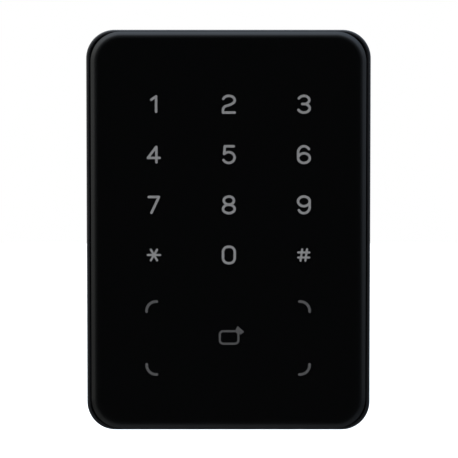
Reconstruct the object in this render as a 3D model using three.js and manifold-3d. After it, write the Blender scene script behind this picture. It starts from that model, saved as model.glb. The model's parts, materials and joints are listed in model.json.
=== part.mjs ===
// Keypad access reader: a touch keypad and card reader that hangs on a sheet steel bracket over a wall box.
// Millimetres. Everything is laid out as seen on the wall: x to the right, y up, z out of the wall.
// The last lines turn the assembly upright, so its front faces -Y and the wall side +Y.
import * as THREE from "three";
import { mergeVertices } from "three/addons/utils/BufferGeometryUtils.js";
import Module from "manifold-3d";

const wasm = await Module();
wasm.setup();

// Driving dimensions: the outside of the reader
const WIDTH = 85;
const HEIGHT = 120;
const DEPTH = 20;
const CORNER_RADIUS = 8.5;
const GAP = 0.3; // left between pieces that touch

// Heights out of the wall of each layer, from back to front
const SHEET = 1.3; // bracket steel
const REAR_RIM = 0.4;
const RECESS_FLOOR = 5.5;
const COVER_FLOOR = 7.0;
const MAIN_BOARD_BACK = 8.0;
const MAIN_BOARD_FRONT = 9.6;
const ON_MAIN_BOARD = MAIN_BOARD_FRONT + 0.05; // foot of the parts soldered to it
const PARTING = 9.0;
const FERRITE_BACK = 10.9;
const FERRITE_FRONT = 11.2;
const COIL_BACK = 11.4;
const TOUCH_BOARD_BACK = 12.8;
const TOUCH_BOARD_FRONT = 14.0;
const GUIDE_BACK = 14.2;
const GUIDE_FLANGE = 15.1;
const LEDGE_BACK = 15.4;
const LEDGE_FRONT = 17.0;
const GUIDE_FRONT = 16.9;
const FILM_BACK = 17.1;
const FILM_FRONT = 17.4;
const PANEL_BACK = 17.7;
const HOUSING_FRONT = 18.8;

// Insets from the outside, sideways
const WALL = 2.2;
const COVER_WALL = 3.4;
const RIM_WALL = 1.05;
const PANEL = { sideInset: 1.3, endInset: 0.45, radius: 9.2, plugInset: 1.5, plugRadius: 8.4 };
const WINDOW_INSET = 5.5;
const SEAL = { outer: 1.2, inner: 2.2, depth: 0.8 };

// Key grid and reading zone on the front
const KEY_PITCH_X = 22.5;
const KEY_PITCH_Y = 15;
const TOP_ROW_Y = 37.7;
const KEY_NAMES = ["1", "2", "3", "4", "5", "6", "7", "8", "9", "star", "0", "hash"];
const ZONE = { width: 47, height: 20, y: -32.2 };

// Rear recess, which the bracket fills, and the edge that the reader hangs and swings on
const RECESS = { width: 73, top: 50.3, bottom: -52, radius: 5 };
const SWING_BEVEL = 3.6; // how far the top rear edge leans back from the wall

// Wall bracket
const BRACKET = { width: 70, top: 50, bottom: -50, radius: 4 };
const HOOK = { x: 19, width: 10, lipBack: 3.4, lipTop: 52.8 };
const CABLE_OPENING = { width: 28, height: 17, y: -11.5 };
const BOX_SCREW_SPACING = 60;
const BOX_SCREW_SLOT = { width: 4, length: 9 };
const LOCATING_HOLE = { x: 27, y: 41, radius: 1.9 };
const TAB = { width: 12, reach: 8, slot: 3.8, lanceTop: -39.5 };

// Lock screw, from below, at this height out of the wall
const LOCK = { z: 5, headRadius: 2.3, shankRadius: 1.5, bottom: -59.8, top: -43.2 };
const LOCK_COLLAR = { radius: 3.2, bottom: -51.5, top: -50.5 };
const INSERT = { radius: 2.1, bottom: -46.8, top: -42 };
const INSERT_BOSS = { halfWidth: 3.7, bottom: -48.2, top: -41, back: 1.7 };
const POCKET = { width: 16, bottom: -56.5, top: -47.2, front: 8.9, wall: 1.2 };

// Cable entry and tamper plunger in the rear cover
const CABLE_ENTRY = { y: -10, bore: 3.2, neck: 4.5, flange: 6.4 };
const TAMPER = { x: 20, y: 20, tipRadius: 2.2, flangeRadius: 3.5, stemRadius: 1, proud: 2 };
const SPRING = { radius: 2.3, wire: 0.4, turns: 3.5, back: 8.6, front: 11.6 };

// Antenna and lamps
const COIL = { width: 58, height: 33, radius: 6, band: 3, y: -33 };
const LED = { width: 1.6, height: 0.8, thickness: 0.7, belowKey: 3.4 };

// Screws
const COVER_SCREW = {
  x: 37, y: 54.5, headRadius: 2.5, shankRadius: 1.3, headBack: 2.6, headFront: 4.4, tip: 14,
};
const BOARD_SCREW = { x: 30, top: 42, bottom: -32, holeRadius: 1.1 };

const rad = THREE.MathUtils.degToRad;

// Solids: three.js makes the shapes, manifold-3d joins and cuts them.

function solid(geometry) {
  const bare = (geometry.index ? geometry : geometry.clone()).clone();
  bare.deleteAttribute("normal");
  bare.deleteAttribute("uv");
  const merged = mergeVertices(bare, 1e-4);
  return new wasm.Manifold(
    new wasm.Mesh({
      numProp: 3,
      vertProperties: new Float32Array(merged.attributes.position.array),
      triVerts: new Uint32Array(merged.index.array),
    }),
  );
}

function geometryOf(made) {
  const mesh = made.getMesh();
  const geometry = new THREE.BufferGeometry();
  geometry.setAttribute("position", new THREE.BufferAttribute(mesh.vertProperties, 3));
  geometry.setIndex(new THREE.BufferAttribute(mesh.triVerts, 1));
  geometry.computeVertexNormals();
  return geometry;
}

function join(...pieces) {
  return pieces.reduce((all, piece) => all.add(piece));
}

function cut(base, ...tools) {
  return tools.reduce((left, tool) => left.subtract(tool), base);
}

// Points of a rounded rectangle, anticlockwise from the right-hand side.
function roundedOutline(width, height, radius, steps = 7) {
  const points = [];
  const corners = [[1, 1, 0], [-1, 1, 90], [-1, -1, 180], [1, -1, 270]];
  for (const [sideX, sideY, start] of corners) {
    for (let i = 0; i <= steps; i++) {
      const angle = rad(start + (90 * i) / steps);
      const x = sideX * (width / 2 - radius) + radius * Math.cos(angle);
      const y = sideY * (height / 2 - radius) + radius * Math.sin(angle);
      points.push(new THREE.Vector2(x, y));
    }
  }
  return points;
}

// A plate with one outline, from one height out of the wall to another.
function plate(outline, back, front, x = 0, y = 0) {
  const options = { depth: front - back, bevelEnabled: false };
  const geometry = new THREE.ExtrudeGeometry(new THREE.Shape(outline), options);
  return solid(geometry.translate(x, y, back));
}

function roundedPlate(width, height, radius, back, front, x = 0, y = 0, steps = 7) {
  return plate(roundedOutline(width, height, radius, steps), back, front, x, y);
}

// A plate whose outline follows the reader's outside, set in by some distance.
function insetPlate(inset, back, front) {
  const radius = Math.max(CORNER_RADIUS - inset, 1);
  return roundedPlate(WIDTH - 2 * inset, HEIGHT - 2 * inset, radius, back, front);
}

// A stack of outlines set in from a rounded rectangle, each [inset, height out of the wall].
function insetStack(profile, width = WIDTH, height = HEIGHT, radius = CORNER_RADIUS) {
  const rings = profile.map(([inset]) =>
    roundedOutline(width - 2 * inset, height - 2 * inset, radius - inset, 10),
  );
  const count = rings[0].length;
  const positions = rings.flatMap((ring, k) => ring.flatMap((p) => [p.x, p.y, profile[k][1]]));
  const index = [];
  for (let k = 0; k + 1 < rings.length; k++) {
    for (let i = 0; i < count; i++) {
      const a = k * count + i;
      const b = k * count + ((i + 1) % count);
      index.push(a, b, b + count, a, b + count, a + count);
    }
  }
  const last = (rings.length - 1) * count;
  for (const [a, b, c] of THREE.ShapeUtils.triangulateShape(rings[0], [])) {
    index.push(a, c, b, last + a, last + b, last + c);
  }
  const geometry = new THREE.BufferGeometry();
  geometry.setAttribute("position", new THREE.Float32BufferAttribute(positions, 3));
  geometry.setIndex(index);
  return solid(geometry);
}

function block(x0, x1, y0, y1, z0, z1) {
  const geometry = new THREE.BoxGeometry(x1 - x0, y1 - y0, z1 - z0);
  return solid(geometry.translate((x0 + x1) / 2, (y0 + y1) / 2, (z0 + z1) / 2));
}

function centredBlock(x, y, width, height, back, front) {
  return block(x - width / 2, x + width / 2, y - height / 2, y + height / 2, back, front);
}

// A rod that points out of the wall.
function rodOut(x, y, radius, back, front, steps = 20) {
  const geometry = new THREE.CylinderGeometry(radius, radius, front - back, steps);
  return solid(geometry.rotateX(Math.PI / 2).translate(x, y, (back + front) / 2));
}

// A rod that points up.
function rodUp(x, z, radius, bottom, top, steps = 20) {
  const geometry = new THREE.CylinderGeometry(radius, radius, top - bottom, steps);
  return solid(geometry.translate(x, (bottom + top) / 2, z));
}

// A side view, as points [height out of the wall, y], carried sideways from x0 to x1.
function sideProfile(points, x0, x1) {
  const outline = points.map(([z, y]) => new THREE.Vector2(-z, y));
  const options = { depth: x1 - x0, bevelEnabled: false };
  const geometry = new THREE.ExtrudeGeometry(new THREE.Shape(outline), options);
  return solid(geometry.rotateY(Math.PI / 2).translate(x0, 0, 0));
}

// A turned piece, as points [radius, distance along the axis], with the axis up.
function turned(points, steps = 24) {
  const profile = points.map(([radius, along]) => new THREE.Vector2(radius, along));
  return new THREE.LatheGeometry(profile, steps);
}

// A turned piece whose axis points out of the wall.
function turnedOut(points, x, y, steps) {
  return solid(turned(points, steps).rotateX(Math.PI / 2).translate(x, y, 0));
}

// The four corners or sides of something placed symmetrically.
function mirrored(x, y) {
  return [[-x, y], [x, y], [-x, -y], [x, -y]];
}

const materials = {
  steel: { color: 0xb4b7bb, roughness: 0.4, metalness: 1 },
  brass: { color: 0xc9a24b, roughness: 0.35, metalness: 1 },
  copper: { color: 0xb8693a, roughness: 0.4, metalness: 1 },
  glossBlack: { color: 0x08080a, roughness: 0.08, metalness: 0 },
  matteBlack: { color: 0x141416, roughness: 0.55, metalness: 0 },
  board: { color: 0x174a2c, roughness: 0.5, metalness: 0 },
  chip: { color: 0x1b1b1d, roughness: 0.6, metalness: 0 },
  led: { color: 0xf2efe2, roughness: 0.3, metalness: 0 },
  white: { color: 0xe9e9e6, roughness: 0.6, metalness: 0 },
  rubber: { color: 0x101010, roughness: 0.85, metalness: 0 },
  tape: { color: 0x2a2a2c, roughness: 0.8, metalness: 0 },
  ferrite: { color: 0x3b3a3a, roughness: 0.7, metalness: 0 },
};

const reader = new THREE.Group();

function addPiece(name, material, made) {
  const mesh = new THREE.Mesh(geometryOf(made), new THREE.MeshStandardMaterial(materials[material]));
  mesh.name = name;
  reader.add(mesh);
}

// Front: glass, its tape, and the housing that frames it

// The panel plugs into the housing, and its bevelled face laps over the rim at the top and bottom.
function touchPanel() {
  const bevelWidth = 1.25;
  const bevelDepth = 0.85;
  const edge = DEPTH - bevelDepth;
  const lap = HOUSING_FRONT + GAP;
  const profile = [
    [0, lap],
    [0, edge],
    [0.3 * bevelWidth, edge + 0.5 * bevelDepth],
    [bevelWidth, DEPTH],
  ];
  const { sideInset, endInset, radius, plugInset, plugRadius } = PANEL;
  const face = insetStack(profile, WIDTH - 2 * sideInset, HEIGHT - 2 * endInset, radius);
  const [plugWidth, plugHeight] = [WIDTH - 2 * plugInset, HEIGHT - 2 * plugInset];
  return join(face, roundedPlate(plugWidth, plugHeight, plugRadius, PANEL_BACK, edge));
}

function panelAdhesive() {
  const outerInset = PANEL.plugInset + 0.2;
  const tape = insetPlate(outerInset, LEDGE_FRONT + 0.15, PANEL_BACK - 0.15);
  return cut(tape, insetPlate(WINDOW_INSET - 0.5, LEDGE_FRONT, PANEL_BACK));
}

function frontHousing() {
  const bossRadius = 3.3;
  const shell = insetStack([
    [0, PARTING + 0.2],
    [0, HOUSING_FRONT - 0.9],
    [0.26, HOUSING_FRONT - 0.27],
    [0.7, HOUSING_FRONT],
  ]);
  const seat = insetPlate(RIM_WALL, LEDGE_FRONT, DEPTH);
  const window = insetPlate(WINDOW_INSET, LEDGE_BACK - 1, DEPTH);
  let cavity = insetPlate(WALL, PARTING, LEDGE_BACK);
  const holes = [];
  for (const [x, y] of mirrored(COVER_SCREW.x, COVER_SCREW.y)) {
    cavity = cut(cavity, rodOut(x, y, bossRadius, PARTING, LEDGE_BACK));
    holes.push(rodOut(x, y, COVER_SCREW.shankRadius + GAP, PARTING, LEDGE_BACK - 1));
  }
  return cut(shell, seat, window, cavity, ...holes);
}

// Light guide and boards

function cornerNotches(back, front) {
  const notchRadius = 3.7;
  return mirrored(COVER_SCREW.x, COVER_SCREW.y).map(([x, y]) => rodOut(x, y, notchRadius, back, front));
}

function keyPlace(index) {
  const column = (index % 3) - 1;
  const row = Math.floor(index / 3);
  return [column * KEY_PITCH_X, TOP_ROW_Y - row * KEY_PITCH_Y];
}

function lightGuide() {
  const well = { width: 17, height: 10.5, radius: 2 };
  const flange = insetPlate(WALL + 1, GUIDE_BACK, GUIDE_FLANGE);
  const body = insetPlate(WINDOW_INSET + GAP, GUIDE_BACK, GUIDE_FRONT);
  const wells = KEY_NAMES.map((name, index) => {
    const [x, y] = keyPlace(index);
    return roundedPlate(well.width, well.height, well.radius, GUIDE_BACK - 1, DEPTH, x, y, 2);
  });
  const zone = roundedPlate(ZONE.width, ZONE.height, well.radius, GUIDE_BACK - 1, DEPTH, 0, ZONE.y, 2);
  return cut(join(flange, body), ...wells, zone, ...cornerNotches(GUIDE_BACK - 1, DEPTH));
}

function diffuserFilm() {
  return insetPlate(WINDOW_INSET + 0.8, FILM_BACK, FILM_FRONT);
}

function touchBoard() {
  const board = insetPlate(WALL + 1, TOUCH_BOARD_BACK, TOUCH_BOARD_FRONT);
  return cut(board, ...cornerNotches(TOUCH_BOARD_BACK - 1, DEPTH));
}

function led(x, y) {
  const back = TOUCH_BOARD_FRONT + 0.05;
  return centredBlock(x, y, LED.width, LED.height, back, back + LED.thickness);
}

function keyLed(index) {
  const [x, y] = keyPlace(index);
  return led(x, y - LED.belowKey);
}

function mainBoard() {
  const [below, above] = [MAIN_BOARD_BACK - 1, MAIN_BOARD_FRONT + 0.4];
  const board = roundedPlate(68, 84, 2, MAIN_BOARD_BACK, MAIN_BOARD_FRONT, 0, 5, 3);
  const wireSlot = roundedPlate(14, 12, 2, below, above, 0, CABLE_ENTRY.y, 3);
  const tamperHole = rodOut(TAMPER.x, TAMPER.y, TAMPER.flangeRadius + 0.6, below, above);
  const screwHoles = boardScrewPlaces().map(([x, y]) =>
    rodOut(x, y, BOARD_SCREW.holeRadius, below, above, 12),
  );
  return cut(board, wireSlot, tamperHole, ...screwHoles);
}

function boardScrewPlaces() {
  const { x, top, bottom } = BOARD_SCREW;
  return [[-x, top], [x, top], [-x, bottom], [x, bottom]];
}

// A chip with a row of legs down each side.
function chipWithLegs(x, y, width, height, back, front, legs) {
  const body = centredBlock(x, y, width, height, back + 0.15, front);
  const pitch = (height - 0.8) / (legs - 1);
  const rows = Array.from({ length: legs }, (_, i) =>
    centredBlock(x, y - height / 2 + 0.4 + i * pitch, width + 1.8, pitch * 0.45, back, back + 0.35),
  );
  return join(body, ...rows);
}

// The header that the building's cable plugs into, open towards the front.
function cableConnector() {
  const y = 3;
  const top = 12.3;
  const shroud = centredBlock(0, y, 24, 5, ON_MAIN_BOARD, top);
  return cut(shroud, centredBlock(0, y - 0.4, 22, 3.4, MAIN_BOARD_FRONT + 0.8, top + 1));
}

function buzzer() {
  const [x, y] = [-24, 12];
  const top = 12.4;
  const can = rodOut(x, y, 6, ON_MAIN_BOARD, top, 28);
  return cut(can, rodOut(x, y, 1, top - 0.4, top + 1, 12));
}

function antennaCoil() {
  const { width, height, radius, band, y } = COIL;
  const front = TOUCH_BOARD_BACK - 0.2;
  const ring = roundedPlate(width, height, radius, COIL_BACK, front, 0, y, 5);
  const hole = roundedPlate(
    width - 2 * band, height - 2 * band, radius - band, COIL_BACK - 1, DEPTH, 0, y, 5,
  );
  return cut(ring, hole);
}

function ferriteSheet() {
  return roundedPlate(COIL.width + 2, COIL.height + 2, 3, FERRITE_BACK, FERRITE_FRONT, 0, COIL.y, 3);
}

// Rear cover: bracket recess behind, board posts inside, cable, plunger and lock screw openings

function rearCover() {
  const recessHeight = RECESS.top - RECESS.bottom;
  const recessY = (RECESS.top + RECESS.bottom) / 2;
  const shell = insetStack([
    [0.5, REAR_RIM],
    [0, REAR_RIM + 0.5],
    [0, PARTING],
  ]);
  const recess = roundedPlate(RECESS.width, recessHeight, RECESS.radius, -1, RECESS_FLOOR, 0, recessY);
  const inside = insetPlate(COVER_WALL, COVER_FLOOR, PARTING + 1);
  const postRadius = 3.6;
  const standoffRadius = 2.6;
  const posts = mirrored(COVER_SCREW.x, COVER_SCREW.y).map(([x, y]) =>
    rodOut(x, y, postRadius, RECESS_FLOOR + 0.5, PARTING),
  );
  const standoffs = boardScrewPlaces().map(([x, y]) =>
    rodOut(x, y, standoffRadius, COVER_FLOOR - 0.5, MAIN_BOARD_BACK - 0.15, 16),
  );
  const half = POCKET.width / 2;
  const { bottom, top, front, wall } = POCKET;
  const pocketShell = block(
    -half - wall, half + wall, bottom - 0.5, top + 1.5, COVER_FLOOR - 0.5, front + wall,
  );
  const pocket = block(-half, half, bottom, top, -1, front);
  const { halfWidth } = INSERT_BOSS;
  const boss = block(
    -halfWidth, halfWidth, INSERT_BOSS.bottom, INSERT_BOSS.top, INSERT_BOSS.back, front + 0.5,
  );
  const tray = join(cut(shell, inside, recess), ...posts, ...standoffs, pocketShell);
  const body = join(cut(tray, pocket), boss);
  return cut(body, ...coverOpenings(), ...lockOpenings(), swingBevel(), sealGroove());
}

function coverOpenings() {
  const { headRadius, shankRadius, headFront } = COVER_SCREW;
  const holes = mirrored(COVER_SCREW.x, COVER_SCREW.y).flatMap(([x, y]) => [
    rodOut(x, y, shankRadius + GAP, -1, PARTING + 1, 16),
    rodOut(x, y, headRadius + 0.4, -1, headFront + GAP, 24),
  ]);
  const boardHoles = boardScrewPlaces().map(([x, y]) =>
    rodOut(x, y, BOARD_SCREW.holeRadius, RECESS_FLOOR + 0.6, PARTING, 12),
  );
  const pocketHalf = HOOK.width / 2 + 1;
  const hookPockets = [-HOOK.x, HOOK.x].map((x) =>
    block(
      x - pocketHalf, x + pocketHalf, RECESS.top - 1, HOOK.lipTop + 1.2, HOOK.lipBack - GAP, RECESS_FLOOR,
    ),
  );
  return [
    ...holes,
    ...boardHoles,
    ...hookPockets,
    rodOut(0, CABLE_ENTRY.y, CABLE_ENTRY.neck + GAP, 4, PARTING, 24),
    rodOut(TAMPER.x, TAMPER.y, TAMPER.tipRadius + GAP, 4, PARTING, 24),
  ];
}

function lockOpenings() {
  const below = LOCK.bottom - 2.2;
  const headSeat = LOCK.bottom + 1.7;
  return [
    rodUp(0, LOCK.z, INSERT.radius + 0.15, INSERT.bottom - 2.2, INSERT.top + 0.15, 24),
    rodUp(0, LOCK.z, LOCK.shankRadius + GAP, below, POCKET.bottom + 1, 20),
    rodUp(0, LOCK.z, LOCK.headRadius + 0.4, below, headSeat, 24),
  ];
}

function swingBevel() {
  const above = HEIGHT / 2 + 1;
  const lean = SWING_BEVEL / (HEIGHT / 2 - RECESS.top);
  const atTop = REAR_RIM + lean * (above - RECESS.top);
  return sideProfile([[-1, RECESS.top], [REAR_RIM, RECESS.top], [atTop, above], [-1, above]], -50, 50);
}

function sealGroove() {
  const outside = insetPlate(SEAL.outer, PARTING - SEAL.depth, PARTING + 1);
  return cut(outside, insetPlate(SEAL.inner, PARTING - SEAL.depth - 1, PARTING + 2));
}

function housingSeal() {
  const outside = insetPlate(SEAL.outer + 0.15, PARTING - SEAL.depth + 0.1, PARTING + 0.1);
  return cut(outside, insetPlate(SEAL.inner - 0.15, PARTING - 2, PARTING + 2));
}

function cableGrommet() {
  const { y, bore, neck, flange } = CABLE_ENTRY;
  const profile = [
    [bore, RECESS_FLOOR - 1.0],
    [flange - 0.5, RECESS_FLOOR - 1.0],
    [flange, RECESS_FLOOR - 0.6],
    [flange, RECESS_FLOOR - 0.1],
    [neck, RECESS_FLOOR - 0.1],
    [neck, COVER_FLOOR + 0.1],
    [neck + 0.9, COVER_FLOOR + 0.15],
    [neck + 0.4, COVER_FLOOR + 0.8],
    [bore, COVER_FLOOR + 0.8],
    [bore, RECESS_FLOOR - 1.0],
  ];
  return turnedOut(profile, 0, y, 28);
}

// Screws. Each is turned about its axis with the head at the low end, then cut for its driver.

function pointedScrew(headRadius, headHeight, shankRadius, length) {
  return [
    [0, 0],
    [headRadius - 0.4, 0],
    [headRadius, 0.35],
    [headRadius, headHeight],
    [shankRadius, headHeight],
    [shankRadius, length - 0.6],
    [shankRadius - 0.5, length],
    [0, length],
  ];
}

function crossRecess(x, y, z, size, depth) {
  return join(
    centredBlock(x, y, size, size * 0.28, z - 1, z + depth),
    centredBlock(x, y, size * 0.28, size, z - 1, z + depth),
  );
}

function coverScrew(x, y) {
  const { headRadius, shankRadius, headBack, headFront, tip } = COVER_SCREW;
  const profile = pointedScrew(headRadius, headFront - headBack, shankRadius, tip - headBack);
  const screw = turnedOut(profile.map(([r, z]) => [r, z + headBack]), x, y, 20);
  return cut(screw, crossRecess(x, y, headBack, 2.6, 0.9));
}

function boardScrew(x, y) {
  const headFront = MAIN_BOARD_FRONT + 1.2;
  const profile = [
    [0, headFront - 4.2],
    [0.8, headFront - 4.2],
    [0.8, MAIN_BOARD_FRONT + 0.1],
    [1.9, MAIN_BOARD_FRONT + 0.1],
    [1.9, headFront - 0.3],
    [1.6, headFront],
    [0, headFront],
  ];
  return turnedOut(profile, x, y, 12);
}

function lockScrew() {
  const { headRadius, shankRadius, bottom, top, z } = LOCK;
  const profile = [
    [0, bottom],
    [headRadius - 0.3, bottom],
    [headRadius, bottom + 0.3],
    [headRadius, bottom + 1.4],
    [shankRadius, bottom + 1.4],
    [shankRadius, LOCK_COLLAR.bottom],
    [LOCK_COLLAR.radius, LOCK_COLLAR.bottom],
    [LOCK_COLLAR.radius, LOCK_COLLAR.top],
    [shankRadius, LOCK_COLLAR.top],
    [shankRadius, top - 0.6],
    [shankRadius - 0.5, top],
    [0, top],
  ];
  const screw = solid(turned(profile, 24).translate(0, 0, z));
  const socket = new THREE.CylinderGeometry(1.15, 1.15, 2, 6);
  return cut(screw, solid(socket.translate(0, bottom, z)));
}

function lockInsert() {
  const { radius, bottom, top } = INSERT;
  const outside = rodUp(0, LOCK.z, radius, bottom, top, 24);
  return cut(outside, rodUp(0, LOCK.z, LOCK.shankRadius + 0.15, bottom - 1, top + 1, 20));
}

// Tamper switch: a sprung plunger that bears on the wall through the bracket

function tamperPlunger() {
  const { x, y, tipRadius, flangeRadius, stemRadius, proud } = TAMPER;
  const profile = [
    [0, -proud],
    [tipRadius - 0.8, -proud],
    [tipRadius - 0.2, 0.3 - proud],
    [tipRadius, 0.8 - proud],
    [tipRadius, COVER_FLOOR + GAP],
    [flangeRadius, COVER_FLOOR + GAP],
    [flangeRadius, SPRING.back - 0.35],
    [stemRadius, SPRING.back - 0.35],
    [stemRadius, 9.6],
    [0, 9.6],
  ];
  return turnedOut(profile, x, y, 24);
}

function tamperSpring() {
  const { radius, wire, turns, back, front } = SPRING;
  const stepsPerTurn = 10;
  const count = Math.round(turns * stepsPerTurn);
  const route = Array.from({ length: count + 1 }, (_, i) => {
    const angle = (2 * Math.PI * i) / stepsPerTurn;
    const along = back + wire / 2 + ((front - back - wire) * i) / count;
    return new THREE.Vector3(radius * Math.cos(angle), radius * Math.sin(angle), along);
  });
  const section = Array.from({ length: 6 }, (_, i) => {
    const angle = (Math.PI * i) / 3;
    return new THREE.Vector2((wire / 2) * Math.cos(angle), (wire / 2) * Math.sin(angle));
  });
  const options = { steps: count, bevelEnabled: false, extrudePath: new THREE.CatmullRomCurve3(route) };
  const coil = new THREE.ExtrudeGeometry(new THREE.Shape(section), options);
  return solid(coil.translate(TAMPER.x, TAMPER.y, 0));
}

function tamperSwitch() {
  const { x, y } = TAMPER;
  const cup = centredBlock(x, y, 9.4, 9.4, MAIN_BOARD_FRONT + 0.1, 12.6);
  return cut(cup, rodOut(x, y, 3.9, 9, SPRING.front + 0.15, 24));
}

// Wall bracket: stamped plate, two folded hooks, one lanced tab with an open slot

function slot(x, y, width, height) {
  const radius = Math.min(width, height) / 2 - 0.01;
  return roundedPlate(width, height, radius, -1, SHEET + 1, x, y, 5);
}

function hook(x) {
  const { width, lipBack, lipTop } = HOOK;
  const bend = 0.9;
  const top = BRACKET.top;
  const front = lipBack + SHEET;
  const profile = [
    [0.2, top - SHEET],
    [front - bend, top - SHEET],
    [front - 0.3 * bend, top - SHEET + 0.3 * bend],
    [front, top - SHEET + bend],
    [front, lipTop - 0.3],
    [front - 0.4, lipTop],
    [lipBack, lipTop],
    [lipBack, top],
    [0.2, top],
  ];
  return sideProfile(profile, x - width / 2, x + width / 2);
}

function wallBracket() {
  const height = BRACKET.top - BRACKET.bottom;
  const half = BOX_SCREW_SPACING / 2;
  const { width, length } = BOX_SCREW_SLOT;
  const tabHalf = TAB.width / 2;
  const base = roundedPlate(BRACKET.width, height, BRACKET.radius, 0, SHEET, 0, 0, 5);
  const opening = roundedPlate(CABLE_OPENING.width, CABLE_OPENING.height, 3, -1, 3, 0, CABLE_OPENING.y, 4);
  const lance = block(-tabHalf - 0.6, tabHalf + 0.6, BRACKET.bottom + SHEET - 0.01, TAB.lanceTop, -1, 3);
  const holes = [
    slot(-half, 0, width, length),
    slot(half, 0, width, length),
    slot(0, half, length, width),
    slot(0, -half, length, width),
    rodOut(TAMPER.x, TAMPER.y, TAMPER.tipRadius + 1.4, -1, 3, 24),
    ...mirrored(LOCATING_HOLE.x, LOCATING_HOLE.y).map(([x, y]) =>
      rodOut(x, y, LOCATING_HOLE.radius, -1, 3, 16),
    ),
  ];
  const ties = [-26.5, 26.5].map((x) => slot(x, -22, 2.4, 7));
  const tab = block(-tabHalf, tabHalf, BRACKET.bottom, BRACKET.bottom + SHEET, 0.2, TAB.reach);
  const slotEnd = rodUp(0, LOCK.z, TAB.slot / 2, -52, -48, 20);
  const slotMouth = block(-TAB.slot / 2, TAB.slot / 2, -52, -48, LOCK.z, TAB.reach + 1);
  const stamped = cut(base, opening, lance, ...holes, ...ties);
  return join(stamped, hook(-HOOK.x), hook(HOOK.x), cut(tab, slotEnd, slotMouth));
}

addPiece("wall_bracket", "steel", wallBracket());
addPiece("rear_cover", "matteBlack", rearCover());
addPiece("front_housing", "matteBlack", frontHousing());
addPiece("touch_panel", "glossBlack", touchPanel());
addPiece("panel_adhesive", "tape", panelAdhesive());
addPiece("housing_seal", "rubber", housingSeal());
addPiece("diffuser_film", "white", diffuserFilm());
addPiece("light_guide", "white", lightGuide());
addPiece("touch_board", "board", touchBoard());
KEY_NAMES.forEach((name, index) => addPiece(`key_led_${name}`, "led", keyLed(index)));
for (const [side, x] of [["left", -20], ["right", 20]]) {
  addPiece(`zone_led_${side}`, "led", led(x, ZONE.y));
}
addPiece("touch_controller", "chip", chipWithLegs(0, 24, 5.5, 5.5, 11.7, TOUCH_BOARD_BACK - 0.1, 8));
addPiece("board_socket", "white", centredBlock(0, 42, 18, 3.6, 11.4, TOUCH_BOARD_BACK - 0.05));
addPiece("board_header", "chip", centredBlock(0, 42, 18, 3.6, ON_MAIN_BOARD, 11.2));
addPiece("antenna_coil", "copper", antennaCoil());
addPiece("ferrite_sheet", "ferrite", ferriteSheet());
addPiece("main_board", "board", mainBoard());
addPiece("microcontroller", "chip", chipWithLegs(-12, 27, 7, 7, ON_MAIN_BOARD, 11.2, 10));
addPiece("card_reader_chip", "chip", chipWithLegs(8, -28, 5, 5, ON_MAIN_BOARD, 10.7, 8));
addPiece("bus_transceiver", "chip", chipWithLegs(-20, -4, 3.9, 5, ON_MAIN_BOARD, 11.3, 4));
addPiece("voltage_regulator", "chip", chipWithLegs(24, -10, 3.9, 5, ON_MAIN_BOARD, 11.2, 4));
addPiece("crystal", "steel", roundedPlate(3.2, 5, 1, ON_MAIN_BOARD, 10.8, -22, 27, 3));
addPiece("power_inductor", "chip", roundedPlate(6, 6, 1.5, ON_MAIN_BOARD, 12.4, 24, 2, 3));
addPiece("supply_capacitor", "steel", rodOut(16, 3, 2.5, ON_MAIN_BOARD, 12.5, 20));
addPiece("buzzer", "chip", buzzer());
addPiece("cable_connector", "white", cableConnector());
addPiece("cable_grommet", "rubber", cableGrommet());
boardScrewPlaces().forEach(([x, y], i) => addPiece(`board_screw_${i + 1}`, "steel", boardScrew(x, y)));
mirrored(COVER_SCREW.x, COVER_SCREW.y).forEach(([x, y], i) =>
  addPiece(`cover_screw_${i + 1}`, "steel", coverScrew(x, y)),
);
addPiece("lock_insert", "brass", lockInsert());
addPiece("lock_screw", "steel", lockScrew());
addPiece("tamper_switch", "chip", tamperSwitch());
addPiece("tamper_plunger", "white", tamperPlunger());
addPiece("tamper_spring", "steel", tamperSpring());

// Upright: the layout's height out of the wall becomes -Y, and its y becomes Z.
reader.rotation.x = Math.PI / 2;

export default reader;
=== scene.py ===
"""A keypad access reader on its wall bracket: a gloss black touch panel in a satin black housing."""

import json
import math

import bmesh
import bpy
from mathutils import Matrix, Vector

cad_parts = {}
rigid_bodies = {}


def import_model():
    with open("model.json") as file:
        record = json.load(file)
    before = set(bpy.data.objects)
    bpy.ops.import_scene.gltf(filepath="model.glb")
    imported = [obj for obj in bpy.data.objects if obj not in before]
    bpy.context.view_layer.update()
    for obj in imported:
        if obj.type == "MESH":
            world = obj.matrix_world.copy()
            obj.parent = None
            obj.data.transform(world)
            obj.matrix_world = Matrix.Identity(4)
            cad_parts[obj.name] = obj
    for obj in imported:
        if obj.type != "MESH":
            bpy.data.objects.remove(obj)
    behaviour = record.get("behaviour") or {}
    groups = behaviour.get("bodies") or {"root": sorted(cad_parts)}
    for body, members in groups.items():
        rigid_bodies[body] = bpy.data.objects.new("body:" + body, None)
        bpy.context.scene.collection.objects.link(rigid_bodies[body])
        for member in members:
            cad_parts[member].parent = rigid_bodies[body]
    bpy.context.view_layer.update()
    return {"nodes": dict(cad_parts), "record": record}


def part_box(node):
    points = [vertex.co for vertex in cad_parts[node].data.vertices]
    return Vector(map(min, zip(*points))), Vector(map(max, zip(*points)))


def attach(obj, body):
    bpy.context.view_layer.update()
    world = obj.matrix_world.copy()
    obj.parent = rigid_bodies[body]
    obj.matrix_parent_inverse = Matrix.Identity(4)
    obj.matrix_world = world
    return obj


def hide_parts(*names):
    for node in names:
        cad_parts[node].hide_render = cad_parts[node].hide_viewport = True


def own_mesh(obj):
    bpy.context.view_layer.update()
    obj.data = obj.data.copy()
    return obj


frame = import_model()

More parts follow.
